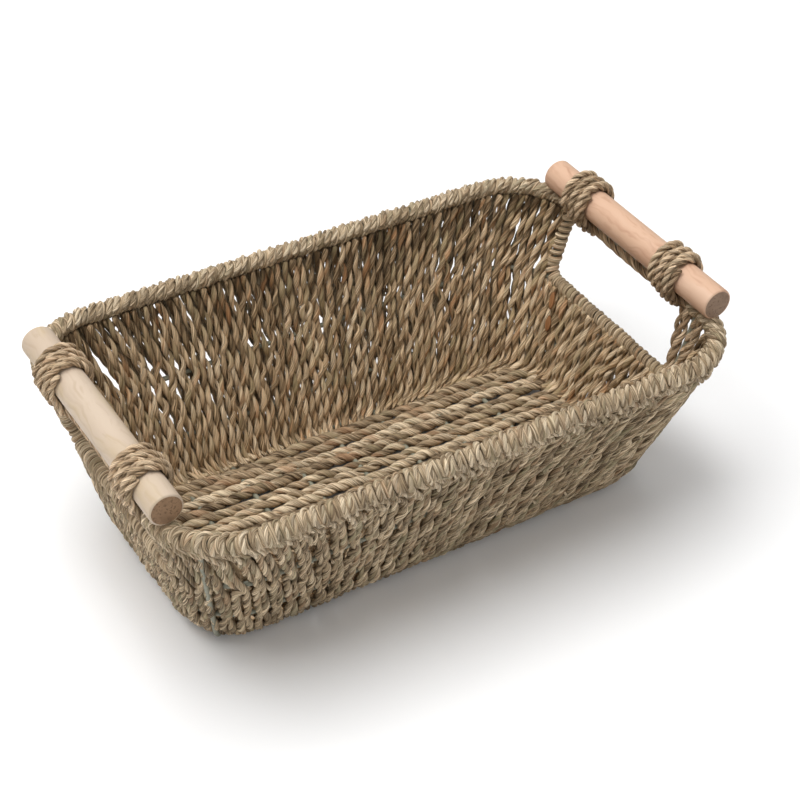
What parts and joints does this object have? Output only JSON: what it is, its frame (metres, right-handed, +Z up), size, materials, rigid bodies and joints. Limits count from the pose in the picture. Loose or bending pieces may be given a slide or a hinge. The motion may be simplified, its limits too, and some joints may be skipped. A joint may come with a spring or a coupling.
{
  "type": "bread basket",
  "caption": "Open rectangular basket of twisted seagrass cord woven on a wire frame, with flared walls, a hand hole in each end and a wooden dowel handle lashed above each hole.",
  "frame": {"origin": "centre of the flat base, on the surface that the basket stands on", "axes": "+X along the length towards the right handle, +Y across the width towards the back, +Z up"},
  "size_m": [0.3126, 0.1822, 0.1193],
  "materials": {
    "seagrass_wall": "two-ply twisted seagrass cord, khaki-brown with olive and rust fibres, matt with a dry sheen",
    "seagrass_rim": "close slanted wraps of untwisted seagrass, paler straw colour, matt with a dry sheen",
    "seagrass_floor": "two-ply twisted seagrass cord with a long lay, straw to khaki, matt",
    "seagrass_cord": "thin two-ply seagrass cord, light brown, matt",
    "coated_wire": "grey-green coated steel wire, satin",
    "wood_pale": "sanded unfinished pale wood, darker end grain",
    "wood_tan": "sanded unfinished pinkish-tan wood with soft streaks, darker end grain"
  },
  "bodies": {
    "root": {"woven_wall_front": "seagrass_wall", "woven_wall_back": "seagrass_wall", "woven_end_left": "seagrass_wall", "woven_end_right": "seagrass_wall", "woven_corner_left_front": "seagrass_wall", "woven_corner_left_back": "seagrass_wall", "woven_corner_right_front": "seagrass_wall", "woven_corner_right_back": "seagrass_wall", "rim_wrap_front": "seagrass_rim", "rim_wrap_back": "seagrass_rim", "rim_wrap_corner_left_front": "seagrass_rim", "rim_wrap_corner_left_back": "seagrass_rim", "rim_wrap_corner_right_front": "seagrass_rim", "rim_wrap_corner_right_back": "seagrass_rim", "hand_hole_sill_wrap_left": "seagrass_rim", "hand_hole_sill_wrap_right": "seagrass_rim", "hand_hole_post_wrap_left_front": "seagrass_rim", "hand_hole_post_wrap_left_back": "seagrass_rim", "hand_hole_post_wrap_right_front": "seagrass_rim", "hand_hole_post_wrap_right_back": "seagrass_rim", "rim_wire": "coated_wire", "upper_hoop_wire": "coated_wire", "lower_hoop_wire": "coated_wire", "base_ring_wire": "coated_wire", "base_cross_wire_1": "coated_wire", "base_cross_wire_2": "coated_wire", "base_cross_wire_3": "coated_wire", "base_cross_wire_4": "coated_wire", "base_cross_wire_5": "coated_wire", "base_cross_wire_6": "coated_wire", "base_cross_wire_7": "coated_wire", "corner_upright_left_front": "coated_wire", "corner_upright_left_back": "coated_wire", "corner_upright_right_front": "coated_wire", "corner_upright_right_back": "coated_wire", "hand_hole_post_left_front": "coated_wire", "hand_hole_post_left_back": "coated_wire", "hand_hole_post_right_front": "coated_wire", "hand_hole_post_right_back": "coated_wire", "floor_cord_1": "seagrass_floor", "floor_cord_2": "seagrass_floor", "floor_cord_3": "seagrass_floor", "floor_cord_4": "seagrass_floor", "floor_cord_5": "seagrass_floor", "floor_cord_6": "seagrass_floor", "floor_cord_7": "seagrass_floor", "floor_cord_8": "seagrass_floor", "lashing_left_front": "seagrass_cord", "lashing_left_back": "seagrass_cord", "lashing_right_front": "seagrass_cord", "lashing_right_back": "seagrass_cord", "rim_cord_left": "seagrass_cord", "rim_cord_right": "seagrass_cord", "dowel_left": "wood_pale", "dowel_right": "wood_tan"}
  },
  "joints": []
}
